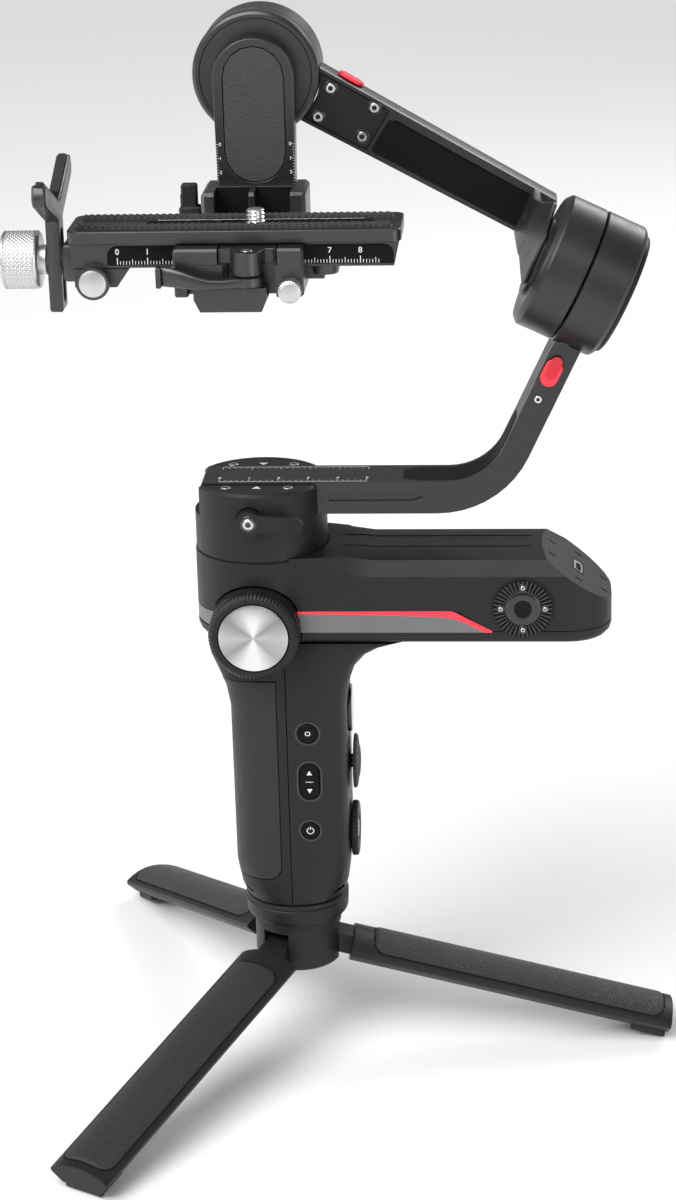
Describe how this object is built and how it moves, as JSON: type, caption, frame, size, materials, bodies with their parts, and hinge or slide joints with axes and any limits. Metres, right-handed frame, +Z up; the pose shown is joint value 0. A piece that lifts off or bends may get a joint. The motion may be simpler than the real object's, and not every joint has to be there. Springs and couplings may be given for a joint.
{
  "type": "handheld camera gimbal",
  "caption": "Handheld three-axis camera stabiliser with pan, roll and tilt motors, an adjustable camera plate, a control grip and a folding mini tripod.",
  "frame": {"origin": "centre of the overall box at the surface the feet stand on", "axes": "+Z up, -X from the pan axis towards the lens end of the camera plate, -Y towards the side with the hand wheel and the buttons"},
  "size_m": [0.2258, 0.2424, 0.3563],
  "materials": {
    "black_plastic": "fine-grained moulded plastic, almost black",
    "black_anodised": "bead-blasted aluminium, black anodised, satin",
    "grey_band": "satin mid grey side band",
    "red_accent": "smooth bright red plastic",
    "dark_rubber": "matt soft grip rubber",
    "bright_steel": "bright turned and knurled metal",
    "gloss_window": "clear black display window",
    "motor_core": "wound motor core",
    "circuit_board": "solder-masked board",
    "battery_wrap": "plastic battery sleeve"
  },
  "bodies": {
    "handle": {"body_shell": "black_plastic", "bottom_cover": "black_plastic", "side_band_front": "grey_band", "side_band_rear": "grey_band", "red_stripe": "red_accent", "crown_gear": "black_anodised", "usb_port": "bright_steel", "grip_shell_left": "black_plastic", "grip_shell_right": "black_plastic", "grip_pad": "dark_rubber", "battery_cell": "battery_wrap", "main_board": "circuit_board", "pan_motor_core": "motor_core", "display_window": "gloss_window", "tripod_collar": "black_plastic", "tripod_hub": "black_plastic"},
    "hand_wheel": {"dial_rim": "black_plastic", "dial_face": "bright_steel"},
    "mode_button": {"round_button": "black_plastic"},
    "rocker": {"rocker_button": "black_plastic"},
    "power_key": {"power_button": "black_plastic"},
    "stick": {"joystick": "black_plastic"},
    "side_wheel": {"menu_dial": "black_plastic"},
    "leg_1": {"tripod_leg_1": "black_plastic", "foot_pad_1": "dark_rubber"},
    "leg_2": {"tripod_leg_2": "black_plastic", "foot_pad_2": "dark_rubber"},
    "leg_3": {"tripod_leg_3": "black_plastic", "foot_pad_3": "dark_rubber"},
    "pan_head": {"pan_rotor": "black_anodised"},
    "pan_lever": {"pan_clamp_lever": "black_plastic"},
    "lower_arm": {"pan_arm": "black_anodised", "roll_stator": "black_anodised", "roll_rear_cap": "black_plastic", "roll_motor_core": "motor_core"},
    "roll_lock": {"roll_lock_slider": "red_accent"},
    "roll_head": {"roll_rotor": "black_anodised"},
    "upper_arm": {"roll_arm": "black_anodised", "roll_arm_cover": "black_anodised", "tilt_housing": "black_anodised", "tilt_motor_core": "motor_core"},
    "tilt_lock": {"tilt_lock_slider": "red_accent"},
    "tilt_head": {"tilt_rotor": "black_anodised", "tilt_arm": "black_anodised", "tilt_arm_panel": "black_plastic"},
    "camera_mount": {"camera_bracket": "black_anodised", "plate_clamp": "black_anodised"},
    "mount_lever": {"bracket_lever": "black_plastic"},
    "quick_lever": {"clamp_lever": "black_anodised"},
    "wedge": {"clamp_wedge": "black_anodised"},
    "safety_catch": {"safety_knob": "bright_steel"},
    "plate": {"camera_plate": "black_anodised", "rubber_strip_near": "dark_rubber", "rubber_strip_far": "dark_rubber", "lens_block": "black_anodised"},
    "camera_bolt": {"camera_screw": "bright_steel"},
    "lens_yoke": {"lens_support": "black_anodised"},
    "lens_wheel": {"lens_knob": "bright_steel"},
    "side_bolt": {"thumb_screw": "bright_steel"}
  },
  "joints": [
    {"name": "wheel_turn", "type": "hinge", "parent": "handle", "child": "hand_wheel", "pos_m": [-0.03097, -0.02291, 0.163], "axis": [0, 1, 0], "continuous": true},
    {"name": "mode_press", "type": "slide", "parent": "handle", "child": "mode_button", "axis": [0, 1, 0], "range_m": [0, 0.0006], "stiffness_N_per_m": 600},
    {"name": "rocker_tip", "type": "hinge", "parent": "handle", "child": "rocker", "pos_m": [-0.01427, -0.01641, 0.1063], "axis": [1, 0, 0], "range_deg": [-3, 3], "stiffness_Nm_per_rad": 0.05},
    {"name": "power_press", "type": "slide", "parent": "handle", "child": "power_key", "axis": [0, 1, 0], "range_m": [0, 0.0006], "stiffness_N_per_m": 600},
    {"name": "stick_tilt", "type": "hinge", "parent": "handle", "child": "stick", "pos_m": [-0.00367, 0.00109, 0.1059], "axis": [0, 1, 0], "range_deg": [-8, 8], "stiffness_Nm_per_rad": 0.05},
    {"name": "side_wheel_turn", "type": "hinge", "parent": "handle", "child": "side_wheel", "pos_m": [-0.00167, 0.00109, 0.0801], "axis": [1, 0, 0], "continuous": true},
    {"name": "leg_1_fold", "type": "hinge", "parent": "handle", "child": "leg_1", "pos_m": [-0.02703, -0.00898, 0.0378], "axis": [0.8755, -0.4833, 0], "range_deg": [0, 71]},
    {"name": "leg_2_fold", "type": "hinge", "parent": "handle", "child": "leg_2", "pos_m": [-0.00997, 0.00131, 0.0378], "axis": [-0.0192, 0.9998, 0], "range_deg": [0, 71]},
    {"name": "leg_3_fold", "type": "hinge", "parent": "handle", "child": "leg_3", "pos_m": [-0.02741, 0.01094, 0.0378], "axis": [-0.8563, -0.5165, 0], "range_deg": [0, 71]},
    {"name": "pan_turn", "type": "hinge", "parent": "handle", "child": "pan_head", "pos_m": [-0.02967, 0.00109, 0.1872], "axis": [0, 0, 1], "continuous": true},
    {"name": "pan_lever_turn", "type": "hinge", "parent": "pan_head", "child": "pan_lever", "pos_m": [-0.03157, -0.02291, 0.2022], "axis": [0, -1, 0], "range_deg": [0, 90]},
    {"name": "pan_arm_slide", "type": "slide", "parent": "pan_head", "child": "lower_arm", "axis": [1, 0, 0], "range_m": [-0.01, 0.02]},
    {"name": "roll_lock_slide", "type": "slide", "parent": "lower_arm", "child": "roll_lock", "axis": [0.4278, 0, 0.9039], "range_m": [0, 0.003]},
    {"name": "roll_turn", "type": "hinge", "parent": "lower_arm", "child": "roll_head", "pos_m": [0.07817, 0.00109, 0.27982], "axis": [-0.9039, 0, 0.4278], "range_deg": [-180, 45]},
    {"name": "roll_arm_slide", "type": "slide", "parent": "roll_head", "child": "upper_arm", "axis": [0, 1, 0], "range_m": [-0.008, 0.012]},
    {"name": "tilt_lock_slide", "type": "slide", "parent": "upper_arm", "child": "tilt_lock", "axis": [0.8646, 0, -0.5024], "range_m": [0, 0.003]},
    {"name": "tilt_turn", "type": "hinge", "parent": "upper_arm", "child": "tilt_head", "pos_m": [-0.03427, 0.07809, 0.3339], "axis": [0, 1, 0], "range_deg": [-90, 180]},
    {"name": "mount_slide", "type": "slide", "parent": "tilt_head", "child": "camera_mount", "axis": [0, 0, 1], "range_m": [-0.01, 0.01]},
    {"name": "mount_lever_turn", "type": "hinge", "parent": "camera_mount", "child": "mount_lever", "pos_m": [-0.05367, 0.06109, 0.289], "axis": [1, 0, 0], "range_deg": [0, 80]},
    {"name": "quick_lever_turn", "type": "hinge", "parent": "camera_mount", "child": "quick_lever", "pos_m": [-0.02937, -0.01891, 0.2837], "axis": [0, 0, 1], "range_deg": [0, 75]},
    {"name": "wedge_slide", "type": "slide", "parent": "camera_mount", "child": "wedge", "axis": [0, -1, 0], "range_m": [0, 0.0005]},
    {"name": "safety_pull", "type": "slide", "parent": "camera_mount", "child": "safety_catch", "axis": [0, -1, 0], "range_m": [0, 0.003], "stiffness_N_per_m": 300},
    {"name": "plate_slide", "type": "slide", "parent": "camera_mount", "child": "plate", "axis": [1, 0, 0], "range_m": [-0.015, 0.015]},
    {"name": "camera_bolt_turn", "type": "hinge", "parent": "plate", "child": "camera_bolt", "pos_m": [-0.02817, 0.00109, 0.2986], "axis": [0, 0, 1], "continuous": true},
    {"name": "lens_yoke_slide", "type": "slide", "parent": "plate", "child": "lens_yoke", "axis": [0, 0, 1], "range_m": [-0.008, 0.011]},
    {"name": "lens_wheel_turn", "type": "hinge", "parent": "plate", "child": "lens_wheel", "pos_m": [-0.09527, 0.00109, 0.2866], "axis": [1, 0, 0], "continuous": true},
    {"name": "side_bolt_turn", "type": "hinge", "parent": "plate", "child": "side_bolt", "pos_m": [-0.08117, 0.00109, 0.2818], "axis": [0, 1, 0], "continuous": true}
  ],
  "couplings": [
    {"joint": "quick_lever_turn", "follows": "wedge_slide", "rad_per_m": 2618}
  ]
}
